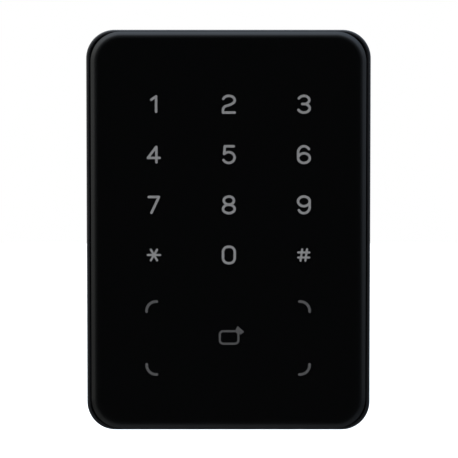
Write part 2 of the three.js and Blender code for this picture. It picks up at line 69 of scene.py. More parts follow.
# Pieces are laid out in millimetres as they hang on the wall: x to the right, y up, z out of the wall.
MM = 0.001
UPRIGHT = Matrix.Rotation(math.pi / 2, 4, "X") @ Matrix.Scale(MM, 4)


def extent(node):
    """A CAD node's box in the wall layout: ((x low, x high), (y low, y high), (back, front))."""
    low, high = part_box(node)
    return (low.x / MM, high.x / MM), (low.z / MM, high.z / MM), (-high.y / MM, -low.y / MM)


HOUSING_X, HOUSING_Y, HOUSING_Z = extent("front_housing")
PANEL_X, PANEL_Y, PANEL_Z = extent("touch_panel")
WIDTH = HOUSING_X[1] - HOUSING_X[0]
HEIGHT = HOUSING_Y[1] - HOUSING_Y[0]
CORNER_RADIUS = 8.5
PANEL_RADIUS = 9.2
PLUG_INSET, PLUG_RADIUS = 1.5, 8.4
FRONT = PANEL_Z[1]

# Places that several pieces share
COVER_SCREW_X, COVER_SCREW_Y = 37.0, 54.5
BOARD_SCREWS = [(x, y) for x in (-30, 30) for y in (42, -32)]
HOOKS_X = (-19, 19)
CABLE_ENTRY_Y = -10
PLUNGER_X, PLUNGER_Y = 20, 20
LOCK_DEPTH = 5.0
LOCK_TOP = -43.2
# Stands a piece made about the z axis up on the lock screw's axis
LOCK_AXIS = Matrix.Translation((0, 0, LOCK_DEPTH)) @ Matrix.Rotation(-math.pi / 2, 4, "X")

# The printed marks
KEY_CENTRE_X = 0.12
KEY_PITCH_X = 22.4
KEY_PITCH_Y = 15.0
TOP_ROW_Y = 37.8
KEY_NAMES = ["1", "2", "3", "4", "5", "6", "7", "8", "9", "star", "0", "hash"]
DIGIT_STROKE = 0.75
SIGN_STROKE = 0.64
ZONE_STROKE = 0.78
MARK_PROUD = 0.012
MARK_DEPTH = 0.05
# Strength of the painted glow: the printed marks emit a little light of their own, with no lamp behind
# them
MARK_PAINTED_GLOW = 0.12
DIGIT_SIDE, DIGIT_TOP = 1.735, 2.485
ZONE_X, ZONE_Y = -0.1, -32.12
CARD_X, CARD_Y = 0.2, -31.94


# -------- node helpers

def add(tree, kind, inputs=None, **settings):
    """A node with its settings, and with each input set to a value or linked to a socket."""
    made = tree.nodes.new(kind)
    for key, value in settings.items():
        setattr(made, key, value)
    for key, value in (inputs or {}).items():
        socket = made.inputs[key]
        if isinstance(value, bpy.types.NodeSocket):
            tree.links.new(value, socket)
        else:
            socket.default_value = value
    return made


def group_tree(name, inputs, outputs):
    """An empty shader node group with named float inputs and outputs."""
    tree = bpy.data.node_groups.new(name, "ShaderNodeTree")
    for label, value in inputs:
        socket = tree.interface.new_socket(label, in_out="INPUT", socket_type="NodeSocketFloat")
        socket.default_value = value
    for label in outputs:
        tree.interface.new_socket(label, in_out="OUTPUT", socket_type="NodeSocketFloat")
    return tree, tree.nodes.new("NodeGroupInput").outputs, tree.nodes.new("NodeGroupOutput").inputs


def math_node(tree, operation, a, b=0.0, clamp=False):
    return add(tree, "ShaderNodeMath", {0: a, 1: b}, operation=operation, use_clamp=clamp).outputs[0]


def remap(tree, value, low, high, to_low=0.0, to_high=1.0):
    inputs = {"Value": value, "From Min": low, "From Max": high, "To Min": to_low, "To Max": to_high}
    return add(tree, "ShaderNodeMapRange", inputs).outputs["Result"]


def object_coordinates(tree, stretch=(1, 1, 1), turn=(0, 0, 0)):
    own = add(tree, "ShaderNodeTexCoord").outputs["Object"]
    inputs = {"Vector": own, "Rotation": turn, "Scale": stretch}
    return add(tree, "ShaderNodeMapping", inputs).outputs["Vector"]


def noise(tree, scale, detail=3.0, roughness=0.5, stretch=(1, 1, 1), turn=(0, 0, 0)):
    inputs = {
        "Vector": object_coordinates(tree, stretch, turn),
        "Scale": scale,
        "Detail": detail,
        "Roughness": roughness,
    }
    return add(tree, "ShaderNodeTexNoise", inputs).outputs["Fac"]


# -------- shared surface effects

def moulded_grain():
    """The fine etched texture of a moulding tool, with the slow unevenness of the plastic."""
    tree, given, out = group_tree("moulded_grain", [("Scale", 2600.0)], ["Height", "Mask"])
    fine = noise(tree, given["Scale"], 2.0, 0.6)
    cells = add(tree, "ShaderNodeTexVoronoi", {
        "Vector": object_coordinates(tree),
        "Scale": given["Scale"],
    }, feature="SMOOTH_F1").outputs["Distance"]
    tree.links.new(math_node(tree, "ADD", fine, cells), out["Height"])
    slow = noise(tree, 45.0, 4.0, 0.6)
    tree.links.new(remap(tree, slow, 0.35, 0.7), out["Mask"])
    return tree


def handling_marks():
    """Smudges where fingers land, and a little dust."""
    tree, given, out = group_tree("handling_marks", [("Scale", 60.0)], ["Smudge", "Dust"])
    broad = noise(tree, given["Scale"], 5.0, 0.62)
    streaks = noise(tree, math_node(tree, "MULTIPLY", given["Scale"], 3.0), 4.0, 0.6, (1, 1, 0.35))
    blended = math_node(tree, "MULTIPLY", remap(tree, broad, 0.45, 0.75), remap(tree, streaks, 0.3, 0.8))
    tree.links.new(blended, out["Smudge"])
    specks = noise(tree, 5200.0, 1.0)
    tree.links.new(remap(tree, specks, 0.72, 0.8), out["Dust"])
    return tree


def hair_scratches():
    """Fine scratches in two directions, as soft thin lines."""
    tree, given, out = group_tree("hair_scratches", [("Scale", 900.0)], ["Mask"])
    lines = []
    for turn, stretch in ((0.5, (1, 1, 0.03)), (-0.9, (0.03, 1, 1))):
        field = noise(tree, given["Scale"], 1.0, 0.5, stretch, (0, turn, 0))
        lines.append(remap(tree, field, 0.69, 0.74))
    patches = remap(tree, noise(tree, 35.0, 2.0), 0.45, 0.7)
    both = math_node(tree, "MAXIMUM", lines[0], lines[1])
    tree.links.new(math_node(tree, "MULTIPLY", both, patches), out["Mask"])
    return tree


def edge_wear():
    """Rubbed edges: where the true normal differs from a rounded one, broken up by noise."""
    tree, given, out = group_tree("edge_wear", [("Radius", 0.0003), ("Breakup", 700.0)], ["Mask"])
    rounded = add(tree, "ShaderNodeBevel", {"Radius": given["Radius"]}, samples=6).outputs["Normal"]
    true_normal = add(tree, "ShaderNodeNewGeometry").outputs["Normal"]
    same = add(tree, "ShaderNodeVectorMath", {0: rounded, 1: true_normal}, operation="DOT_PRODUCT")
    edge = remap(tree, same.outputs["Value"], 0.995, 0.86)
    broken = remap(tree, noise(tree, given["Breakup"], 4.0, 0.65), 0.38, 0.62)
    tree.links.new(math_node(tree, "MULTIPLY", edge, broken, clamp=True), out["Mask"])
    return tree


GRAIN = moulded_grain()
HANDLING = handling_marks()
SCRATCHES = hair_scratches()
WEAR = edge_wear()


# -------- materials

class Finish:
    """A material under construction: its tree, its Principled shader and short ways to feed it."""

    def __init__(self, name, color, roughness, metallic=0.0, **constants):
        self.material = bpy.data.materials.new(name)
        self.material.use_nodes = True
        self.tree = self.material.node_tree
        self.shader = self.tree.nodes["Principled BSDF"]
        self.color = color
        self.roughness = roughness
        self.set("Base Color", (*color, 1))
        self.set("Roughness", roughness)
        self.set("Metallic", metallic)
        for key, value in constants.items():
            self.set(key.replace("_", " "), value)

    def set(self, socket, value):
        self.shader.inputs[socket].default_value = value

    def effect(self, tree, **values):
        made = self.tree.nodes.new("ShaderNodeGroup")
        made.node_tree = tree
        for key, value in values.items():
            made.inputs[key].default_value = value
        return made.outputs

    def mix_color(self, factor, base, other):
        mixer = add(self.tree, "ShaderNodeMix", {"Factor": factor}, data_type="RGBA")
        for index, value in ((6, base), (7, other)):
            if isinstance(value, bpy.types.NodeSocket):
                self.tree.links.new(value, mixer.inputs[index])
            else:
                mixer.inputs[index].default_value = (*value, 1)
        return mixer.outputs[2]

    def feed(self, socket, source):
        self.tree.links.new(source, self.shader.inputs[socket])

    def vary_roughness(self, *amounts):
        """Adds each (mask, amount) to the base roughness."""
        total = self.roughness
        for mask, amount in amounts:
            scaled = math_node(self.tree, "MULTIPLY", mask, amount)
            total = math_node(self.tree, "ADD", scaled, total)
        self.feed("Roughness", total)

    def bump(self, height, distance):
        inputs = {"Height": height, "Distance": distance}
        self.feed("Normal", add(self.tree, "ShaderNodeBump", inputs).outputs["Normal"])

    def grained(self, scale, amount, height, *more):
        """A moulded grain in the bump and the roughness, with any further (mask, amount) pairs."""
        grain = self.effect(GRAIN, Scale=scale)
        self.vary_roughness((grain["Mask"], amount), *more)
        self.bump(grain["Height"], height)


def panel_gloss():
    """Black hard-coated sheet: a mirror with faint smudges, hair scratches and the odd speck of dust."""
    f = Finish("panel_black_gloss", (0.0012, 0.0012, 0.0012), 0.03, IOR=1.5)
    handling = f.effect(HANDLING, Scale=55.0)
    scratches = f.effect(SCRATCHES, Scale=1100.0)["Mask"]
    f.vary_roughness((handling["Smudge"], 0.05), (scratches, 0.08), (handling["Dust"], 0.15))
    f.feed("Base Color", f.mix_color(handling["Dust"], f.color, (0.006, 0.006, 0.0062)))
    f.bump(noise(f.tree, 160.0, 2.0), 0.000006)
    return f.material


def housing_plastic(name, roughness, grain_scale, grain_height):
    """Black moulded plastic with an etched grain, polished a little on its edges."""
    f = Finish(name, (0.0052, 0.0052, 0.0058), roughness, IOR=1.45)
    handling = f.effect(HANDLING, Scale=90.0)
    wear = f.effect(WEAR, Radius=0.00035, Breakup=900.0)["Mask"]
    f.grained(grain_scale, 0.07, grain_height, (handling["Smudge"], 0.08), (wear, -0.12))
    dusty = f.mix_color(handling["Dust"], f.color, (0.022, 0.022, 0.021))
    f.feed("Base Color", f.mix_color(wear, dusty, (0.011, 0.011, 0.012)))
    return f.material


def zinc_plated_steel():
    """Galvanised sheet: soft crystal patches, rolling lines, bright rubbed edges, stains."""
    f = Finish("zinc_steel", (0.5, 0.515, 0.53), 0.34, metallic=1.0)
    crystals = add(f.tree, "ShaderNodeTexVoronoi", {
        "Vector": object_coordinates(f.tree, (1, 1, 0.7)),
        "Scale": 430.0,
    }).outputs["Color"]
    patch = add(f.tree, "ShaderNodeSeparateColor", {"Color": crystals}).outputs[0]
    rolling = noise(f.tree, 2200.0, 3.0, 0.6, (1, 1, 0.02))
    stains = remap(f.tree, noise(f.tree, 60.0, 5.0, 0.65), 0.42, 0.72)
    wear = f.effect(WEAR, Radius=0.0003, Breakup=800.0)["Mask"]
    scratches = f.effect(SCRATCHES, Scale=700.0)["Mask"]
    spangled = f.mix_color(patch, (0.5, 0.51, 0.52), (0.58, 0.585, 0.59))
    stained = f.mix_color(math_node(f.tree, "MULTIPLY", stains, 0.35), spangled, (0.33, 0.33, 0.32))
    f.feed("Base Color", f.mix_color(wear, stained, (0.78, 0.78, 0.77)))
    f.vary_roughness((patch, 0.06), (stains, 0.12), (rolling, 0.1), (scratches, -0.12))
    f.bump(math_node(f.tree, "ADD", rolling, scratches), 0.000006)
    return f.material


def screw_metal(name, color, worn, roughness):
    """Plated or blackened fastener: turned grain, bare metal on the rubbed edges."""
    f = Finish(name, color, roughness, metallic=1.0)
    wear = f.effect(WEAR, Radius=0.00018, Breakup=2600.0)["Mask"]
    scratches = f.effect(SCRATCHES, Scale=2400.0)["Mask"]
    f.feed("Base Color", f.mix_color(math_node(f.tree, "MAXIMUM", wear, scratches), color, worn))
    f.grained(4200.0, 0.12, 0.000004, (wear, -0.1))
    return f.material


def rubber(name, grain_scale):
    """Matt black rubber or foam with a fine bloom."""
    f = Finish(name, (0.012, 0.012, 0.0125), 0.72, IOR=1.5)
    bloom = f.effect(HANDLING, Scale=140.0)
    f.feed("Base Color", f.mix_color(bloom["Smudge"], f.color, (0.03, 0.03, 0.03)))
    f.grained(grain_scale, 0.12, 0.000012)
    return f.material


def pale_plastic(name, color, stain):
    """Natural moulded plastic with slow yellowing and a fine grain."""
    f = Finish(name, color, 0.42, IOR=1.5)
    stains = f.effect(HANDLING, Scale=120.0)["Smudge"]
    f.feed("Base Color", f.mix_color(stains, color, stain))
    f.grained(3000.0, 0.12, 0.000005, (stains, 0.1))
    return f.material


def printed_mark(name, color):
    """Grey print under the panel's hard coat, slightly uneven, with a faint painted glow in its own
    colour.
    """
    f = Finish(
        name, color, 0.3,
        IOR=1.5, Coat_Weight=1.0, Coat_Roughness=0.03, Emission_Strength=MARK_PAINTED_GLOW,
    )
    uneven = remap(f.tree, noise(f.tree, 1500.0, 3.0, 0.6), 0.3, 0.75)
    darker = tuple(0.72 * c for c in color)
    tint = f.mix_color(uneven, darker, color)
    f.feed("Base Color", tint)
    # Painted glow: the print's own tint is fed to its emission, so the marks shine faintly by themselves
    f.feed("Emission Color", tint)
    f.grained(5200.0, 0.1, 0.000003)
    return f.material


def solder_mask():
    """Green board: tracks under the mask, seen as faint raised lines, and a woven glass core."""
    f = Finish("board_green", (0.006, 0.06, 0.022), 0.34, IOR=1.5, Coat_Weight=0.4, Coat_Roughness=0.12)
    brick = add(f.tree, "ShaderNodeTexBrick", {
        "Vector": object_coordinates(f.tree, turn=(math.pi / 2, 0, 0)),
        "Scale": 260.0,
        "Mortar Size": 0.06,
    }).outputs["Fac"]
    weave = noise(f.tree, 900.0, 2.0)
    tracks = f.mix_color(brick, (0.006, 0.055, 0.02), (0.012, 0.11, 0.045))
    f.feed("Base Color", f.mix_color(remap(f.tree, weave, 0.45, 0.6), tracks, (0.009, 0.075, 0.03)))
    grain = f.effect(GRAIN, Scale=2600.0)
    f.vary_roughness((grain["Mask"], 0.1))
    f.bump(brick, 0.00002)
    return f.material


def moulded_epoxy():
    """Chip bodies: dark grey, sandy, with pale flecks."""
    f = Finish("chip_epoxy", (0.016, 0.016, 0.017), 0.55, IOR=1.5)
    flecks = f.effect(HANDLING, Scale=200.0)["Dust"]
    f.feed("Base Color", f.mix_color(flecks, f.color, (0.06, 0.06, 0.06)))
    f.grained(6000.0, 0.15, 0.000008)
    return f.material


def copper_wire():
    """Enamelled copper: warm metal under lacquer, uneven along the turns."""
    f = Finish("copper_enamel", (0.62, 0.25, 0.11), 0.28, 1.0, Coat_Weight=0.6, Coat_Roughness=0.15)
    uneven = remap(f.tree, noise(f.tree, 400.0, 3.0), 0.35, 0.7)
    f.feed("Base Color", f.mix_color(uneven, (0.45, 0.17, 0.07), (0.7, 0.3, 0.14)))
    f.grained(5000.0, 0.12, 0.000003)
    return f.material


def make_materials():
    light_grey = (0.202, 0.194, 0.188)
    zone_grey = (0.07, 0.067, 0.065)
    card_grey = (0.064, 0.061, 0.059)
    nickel = (0.6, 0.59, 0.56)
    return {
        "panel_gloss": panel_gloss(),
        "frame_plastic": housing_plastic("frame_black_satin", 0.32, 2600.0, 0.000004),
        "housing_plastic": housing_plastic("cover_black_grain", 0.4, 1900.0, 0.000016),
        "bracket_steel": zinc_plated_steel(),
        "plated_steel": screw_metal("nickel_plate", nickel, (0.78, 0.77, 0.74), 0.26),
        "black_screw": screw_metal("black_oxide", (0.035, 0.035, 0.04), (0.4, 0.39, 0.38), 0.36),
        "brass": screw_metal("machined_brass", (0.68, 0.46, 0.17), (0.8, 0.6, 0.28), 0.3),
        "copper_wire": copper_wire(),
        "black_rubber": rubber("black_rubber", 3400.0),
        "foam_tape": rubber("foam_tape", 1800.0),
        "white_plastic": pale_plastic("natural_plastic", (0.66, 0.66, 0.63), (0.56, 0.54, 0.46)),
        "led_lens": pale_plastic("led_resin", (0.78, 0.72, 0.42), (0.7, 0.6, 0.3)),
        "ferrite": pale_plastic("pressed_ferrite", (0.045, 0.045, 0.047), (0.07, 0.068, 0.066)),
        "circuit_board": solder_mask(),
        "chip_plastic": moulded_epoxy(),
        "key_print": printed_mark("key_print", light_grey),
        "zone_print": printed_mark("zone_print", zone_grey),
        "card_print": printed_mark("card_print", card_grey),
    }


MATERIALS = make_materials()


def dress_cad_nodes():
    """Gives every carried-over CAD node the finish of its material slot."""
    slots = {part["node"]: part["material_slot"] for part in frame["record"]["subparts"]}
    for node, obj in frame["nodes"].items():
        obj.data.materials.clear()
        obj.data.materials.append(MATERIALS[slots[node]])


# -------- mesh helpers

# Edges that turn by more than this many degrees stay crisp
SHARP_TURN = 32.0


def smooth_except_sharp(mesh):
    """Shades a mesh smooth and keeps its sharp edges crisp."""
    bm = bmesh.new()
    bm.from_mesh(mesh)
    for face in bm.faces:
        face.smooth = True
    for edge in bm.edges:
        edge.smooth = edge.calc_face_angle(math.pi) < math.radians(SHARP_TURN)
    bm.to_mesh(mesh)
    bm.free()


def evened_normals(mesh):
    """The same mesh with its big flat faces shaded flat and its small bevels shaded round."""
    obj = scratch_object(mesh)
    modifier = obj.modifiers.new("even", "WEIGHTED_NORMAL")
    modifier.weight = 50
    modifier.keep_sharp = True
    return bake(obj)


def place(name, mesh, material, body, replaced=()):
    """Makes a finished mesh in the wall layout into a piece that rides on a body."""
    mesh.transform(UPRIGHT)
    smooth_except_sharp(mesh)
    mesh = evened_normals(mesh)
    mesh.materials.clear()
    mesh.materials.append(MATERIALS[material])
    obj = bpy.data.objects.new(name, mesh)
    bpy.context.scene.collection.objects.link(obj)
    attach(obj, body)
    if replaced:
        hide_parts(*replaced)
    return obj


def mesh_of(bm, name):
    mesh = bpy.data.meshes.new(name)
    bm.to_mesh(mesh)
    bm.free()
    return mesh


def bridge(bm, first, second):
    """Faces between two rings with the same number of points."""
    for i in range(len(first)):
        j = (i + 1) % len(first)
        bm.faces.new((first[i], first[j], second[j], second[i]))


def loft(name, sections):
    """A closed solid through rings of points, from the back one to the front one."""
    bm = bmesh.new()
    rings = [[bm.verts.new(point) for point in section] for section in sections]
    bm.faces.new(reversed(rings[0]))
    bm.faces.new(rings[-1])
    for low, high in zip(rings, rings[1:]):
        bridge(bm, low, high)
    return mesh_of(bm, name)


def line_mesh(name, points, closed=False):
    """Points joined one after the other by edges, and the last to the first if the line is closed."""
    bm = bmesh.new()
    made = [bm.verts.new(point) for point in points]
    for a, b in zip(made, made[1:] + made[:1] if closed else made[1:]):
        bm.edges.new((a, b))
    return mesh_of(bm, name)


def quarter_round(steps):
    """Points (inset, rise) of a round edge of size 1, from its deepest inset to its full rise."""
    angles = [math.radians(90 * i / steps) for i in range(steps + 1)]
    return [(1 - math.sin(a), 1 - math.cos(a)) for a in angles]


def rounded_outline(width, height, radius, steps=20):
    """Points of a rounded rectangle, anticlockwise."""
    points = []
    for side_x, side_y, start in ((1, 1, 0), (-1, 1, 90), (-1, -1, 180), (1, -1, 270)):
        for i in range(steps + 1):
            angle = math.radians(start + 90 * i / steps)
            x = side_x * (width / 2 - radius) + radius * math.cos(angle)
            y = side_y * (height / 2 - radius) + radius * math.sin(angle)
            points.append((x, y))
    return points


def arc_points(centre, radii, start, end, steps=12):
    """Points of an elliptical arc between two angles in degrees."""
    angles = [math.radians(start + (end - start) * i / steps) for i in range(steps + 1)]
    return [(centre[0] + radii[0] * math.cos(a), centre[1] + radii[1] * math.sin(a)) for a in angles]


def stack(name, profile, steps=20, width=WIDTH, height=HEIGHT, radius=CORNER_RADIUS):
    """A solid with a rounded rectangle's outline, inset as the (inset, height) profile says."""
    sections = []
    for inset, z in profile:
        outline = rounded_outline(width - 2 * inset, height - 2 * inset, radius - inset, steps)
        sections.append([(x, y, z) for x, y in outline])
    return loft(name, sections)


def bake(obj):
    """The evaluated mesh of an object, as plain data, with its modifiers gone."""
    depsgraph = bpy.context.evaluated_depsgraph_get()
    mesh = bpy.data.meshes.new_from_object(obj.evaluated_get(depsgraph), depsgraph=depsgraph)
    bpy.data.objects.remove(obj)
    return mesh


def scratch_object(mesh):
    obj = bpy.data.objects.new("scratch", mesh)
    bpy.context.scene.collection.objects.link(obj)
    return obj


def boolean(base, operation, **operand):
    """An exact boolean of a mesh with an object or a collection."""
    obj = scratch_object(base)
    modifier = obj.modifiers.new("combine", "BOOLEAN")
    modifier.operation = operation
    modifier.solver = "EXACT"
    for key, value in operand.items():
        setattr(modifier, key, value)
    return bake(obj)


def combine(base, other, operation):
    """Joins or cuts two meshes."""
    second = scratch_object(other)
    made = boolean(base, operation, object=second)
    bpy.data.objects.remove(second)
    return made


def combine_all(base, others, operation):
    """Joins or cuts a mesh with many others at once."""
    group = bpy.data.collections.new("others")
    bpy.context.scene.collection.children.link(group)
    for mesh in others:
        group.objects.link(bpy.data.objects.new("other", mesh))
    made = boolean(base, operation, operand_type="COLLECTION", collection=group)
    for other in list(group.objects):
        bpy.data.objects.remove(other)
    bpy.data.collections.remove(group)
    return made


def bevelled(mesh, width, angle=40.0):
    """The same mesh with its sharp edges rounded."""
    obj = scratch_object(mesh)
    modifier = obj.modifiers.new("round", "BEVEL")
    modifier.width = width
    modifier.segments = 2
    modifier.limit_method = "ANGLE"
    modifier.angle_limit = math.radians(angle)
    modifier.use_clamp_overlap = True
    return bake(obj)


def geometry_tree(name, inputs):
    """A Geometry Nodes tree that takes a mesh and named sizes, as {label: socket kind}."""
    tree = bpy.data.node_groups.new(name, "GeometryNodeTree")
    tree.interface.new_socket("Geometry", in_out="OUTPUT", socket_type="NodeSocketGeometry")
    tree.interface.new_socket("Geometry", in_out="INPUT", socket_type="NodeSocketGeometry")
    for label, kind in inputs.items():
        tree.interface.new_socket(label, in_out="INPUT", socket_type="NodeSocket" + kind)
    tree.interface.new_socket("Material", in_out="INPUT", socket_type="NodeSocketMaterial")
    return tree, tree.nodes.new("NodeGroupInput").outputs


def close_tree(tree, given, geometry):
    """Ends a tree with Realize Instances and Set Material."""
    real = add(tree, "GeometryNodeRealizeInstances", {"Geometry": geometry}).outputs["Geometry"]
    inputs = {"Geometry": real, "Material": given["Material"]}
    finished = add(tree, "GeometryNodeSetMaterial", inputs).outputs["Geometry"]
    tree.links.new(finished, tree.nodes.new("NodeGroupOutput").inputs["Geometry"])


def grow(tree, material, mesh, **values):
    """The plain mesh that a tree makes from a mesh with these input values."""
    holder = scratch_object(mesh)
    modifier = holder.modifiers.new("grow", "NODES")
    modifier.node_group = tree
    for item in tree.interface.items_tree:
        if item.in_out == "INPUT" and item.name.replace(" ", "_") in values:
            modifier[item.identifier] = values[item.name.replace(" ", "_")]
        if item.name == "Material":
            modifier[item.identifier] = MATERIALS[material]
    return bake(holder)


# -------- solids in the wall layout

def prism(outline, back, front, x=0.0, y=0.0):
    """A straight-sided solid from one height out of the wall to another."""
    return loft("prism", [[(x + px, y + py, z) for px, py in outline] for z in (back, front)])


def circle(radius, steps=40):
    angles = [2 * math.pi * i / steps for i in range(steps)]
    return [(radius * math.cos(a), radius * math.sin(a)) for a in angles]


def rod_out(x, y, radius, back, front, steps=40):
    return prism(circle(radius, steps), back, front, x, y)


def rod_up(radius, bottom, top):
    """A rod that points up, on the lock screw's axis."""
    mesh = prism(circle(radius), bottom, top)
    mesh.transform(LOCK_AXIS)
    return mesh


def block(x0, x1, y0, y1, back, front):
    return prism([(x0, y0), (x1, y0), (x1, y1), (x0, y1)], back, front)


def inset_plate(inset, back, front):
    return stack("plate", [(inset, back), (inset, front)])


def rounded_plate(width, height, radius, back, front, x=0.0, y=0.0, steps=10):
    return prism(rounded_outline(width, height, radius, steps), back, front, x, y)


def side_profile(points, x0, x1):
    """A side view, as points (height out of the wall, y), carried sideways from x0 to x1."""
    mesh = prism([(-z, y) for z, y in points], x0, x1)
    mesh.transform(Matrix.Rotation(math.pi / 2, 4, "Y"))
    return mesh


def turned(profile, steps=48, radius_at=None):
    """A turned solid about the z axis, from points (radius, along), which radius_at may vary."""
    bm = bmesh.new()
    rings = []
    for radius, along in profile:
        if radius == 0:
            rings.append([bm.verts.new((0, 0, along))])
            continue
        ring = []
        for i in range(steps):
            angle = 2 * math.pi * i / steps
            r = radius_at(radius, angle, along) if radius_at else radius
            ring.append(bm.verts.new((r * math.cos(angle), r * math.sin(angle), along)))
        rings.append(ring)
    for low, high in zip(rings, rings[1:]):
        for i in range(steps):
            j = (i + 1) % steps
            corners = [low[i % len(low)], low[j % len(low)], high[j % len(high)], high[i % len(high)]]
            distinct = list(dict.fromkeys(corners))
            if len(distinct) > 2:
                bm.faces.new(distinct)
    if len(rings[0]) > 1:
        for i in range(steps):
            j = (i + 1) % steps
            bm.faces.new((rings[-1][i], rings[-1][j], rings[0][j], rings[0][i]))
    bmesh.ops.recalc_face_normals(bm, faces=bm.faces)
    return mesh_of(bm, "turned")


def corners(x, y):
    return [(-x, y), (x, y), (-x, -y), (x, -y)]


# -------- front

def touch_panel():
    """The glossy sheet: a plug in the housing under a face whose edge rolls off softly all round."""
    insets = [0, 0.2, 0.4, 0.6, 0.8, 1.0, 1.2, 1.4, 1.6, 1.8, 2.0, 2.2, 2.5, 2.8]
    slopes = [38, 37, 34, 30.5, 26.5, 22, 17.5, 13.5, 10.5, 8, 6, 4, 1.5]
    rises = [
        (high - low) * math.tan(math.radians(slope))
        for low, high, slope in zip(insets, insets[1:], slopes)
    ]
    edge = FRONT - sum(rises)
    profile = [(0.02, HOUSING_Z[1] + 0.3), (0, HOUSING_Z[1] + 0.33)]
    profile += [(inset, edge + sum(rises[:i])) for i, inset in enumerate(insets)]
    width, height = PANEL_X[1] - PANEL_X[0], PANEL_Y[1] - PANEL_Y[0]
    face = stack("touch_panel", profile, 28, width, height, PANEL_RADIUS)
    plug_size = (WIDTH - 2 * PLUG_INSET, HEIGHT - 2 * PLUG_INSET)
    plug = rounded_plate(*plug_size, PLUG_RADIUS, PANEL_Z[0], edge, steps=20)
    return combine(face, plug, "UNION")


def housing_sweep():
    """Carries a closed cross-section round a rounded rectangle."""
    sizes = {"Width": "Float", "Height": "Float", "Corner Radius": "Float", "Corner Steps": "Int"}
    tree, given = geometry_tree("housing_ring", sizes)
    size = {"Width": given["Width"], "Height": given["Height"]}
    outline = add(tree, "GeometryNodeCurvePrimitiveQuadrilateral", size).outputs["Curve"]
    rounded = add(tree, "GeometryNodeFilletCurve", {
        "Curve": outline,
        "Radius": given["Corner Radius"],
        "Count": given["Corner Steps"],
    }, mode="POLY").outputs["Curve"]
    section = add(tree, "GeometryNodeMeshToCurve", {"Mesh": given["Geometry"]}).outputs["Curve"]
    path = {"Curve": rounded, "Profile Curve": section}
    ring = add(tree, "GeometryNodeCurveToMesh", path).outputs["Mesh"]
    close_tree(tree, given, ring)
    return tree


def front_housing():
    """The frame round the panel: rim, seat, ledge, wall, and a screw boss in each corner."""
    parting, ledge_back, ledge_front, front = HOUSING_Z[0], 15.4, 17.0, HOUSING_Z[1]
    seat_inset, wall, ledge = 1.05, 2.2, 5.5
    rim = [(0.7 * rise, front - 0.9 * inset) for inset, rise in quarter_round(6)]
    section = [(0, parting + 0.15), *rim, (seat_inset - 0.12, front), (seat_inset, front - 0.12)]
    section += [(seat_inset, ledge_front), (ledge, ledge_front), (ledge, ledge_back), (wall, ledge_back)]
    section += [(wall, parting), (0.15, parting)]
    loop = line_mesh("section", [(-inset, -z, 0) for inset, z in section], True)
    ring = grow(
        housing_sweep(), "frame_plastic", loop,
        Width=WIDTH, Height=HEIGHT, Corner_Radius=CORNER_RADIUS, Corner_Steps=23,
    )
    bosses = []
    for x, y in corners(COVER_SCREW_X, COVER_SCREW_Y):
        boss = rod_out(x, y, 3.3, parting, ledge_back + 0.4)
        inside = inset_plate(1.5, parting - 1, ledge_back + 1)
        kept = combine(boss, inside, "INTERSECT")
        bosses.append(combine(kept, rod_out(x, y, 1.6, parting - 1, ledge_back - 1), "DIFFERENCE"))
    return combine_all(ring, bosses, "UNION")


# -------- printed marks

def tangents(points, closed):
    last = len(points) - 1
    found = []
    for i in range(len(points)):
        before = points[i - 1] if closed or i > 0 else points[i]
        after = points[(i + 1) % len(points)] if closed or i < last else points[i]
        found.append((Vector(after) - Vector(before)).normalized())
    return found


def ribbon(points, stroke, closed=False):
    """A stroke of even width along a smooth line, with round ends, as a thin solid on the panel."""
    half = stroke / 2
    sides = [[], []]
    directions = tangents(points, closed)
    for point, along in zip(points, directions):
        across = Vector((-along.y, along.x)) * half
        sides[0].append(Vector(point) + across)
        sides[1].append(Vector(point) - across)
    back, front = FRONT - MARK_DEPTH, FRONT + MARK_PROUD
    if not closed:
        start, end = [math.degrees(math.atan2(d.y, d.x)) for d in (directions[0], directions[-1])]
        cap_end = arc_points(points[-1], (half, half), end - 75, end + 75, 8)
        cap_start = arc_points(points[0], (half, half), start + 105, start + 255, 8)
        return prism([*sides[1], *cap_end, *reversed(sides[0]), *cap_start], back, front)
    bm = bmesh.new()
    loops = [[bm.verts.new((p.x, p.y, z)) for p in side] for z in (back, front) for side in sides]
    order = [loops[0], loops[1], loops[3], loops[2]]
    for first, second in zip(order, order[1:] + order[:1]):
        bridge(bm, first, second)
    bmesh.ops.recalc_face_normals(bm, faces=bm.faces)
    return mesh_of(bm, "ring")


def oval(x, y, radius_x, radius_y, steps=40):
    return arc_points((x, y), (radius_x, radius_y), 0, 360 * (1 - 1 / steps), steps - 1)


def six(turn=1):
    """A six, or a nine when it is turned over by -1."""
    side = DIGIT_SIDE
    lead = [(-side, -1.1), (-side, 0.0)] + arc_points((0, 0.65), (side, 1.835), 180, 32, 20)
    bowl = oval(0, -1.05, side, 1.435)
    lines = ((lead, False), (bowl, True))
    return [([(turn * x, turn * y) for x, y in line], closed) for line, closed in lines]


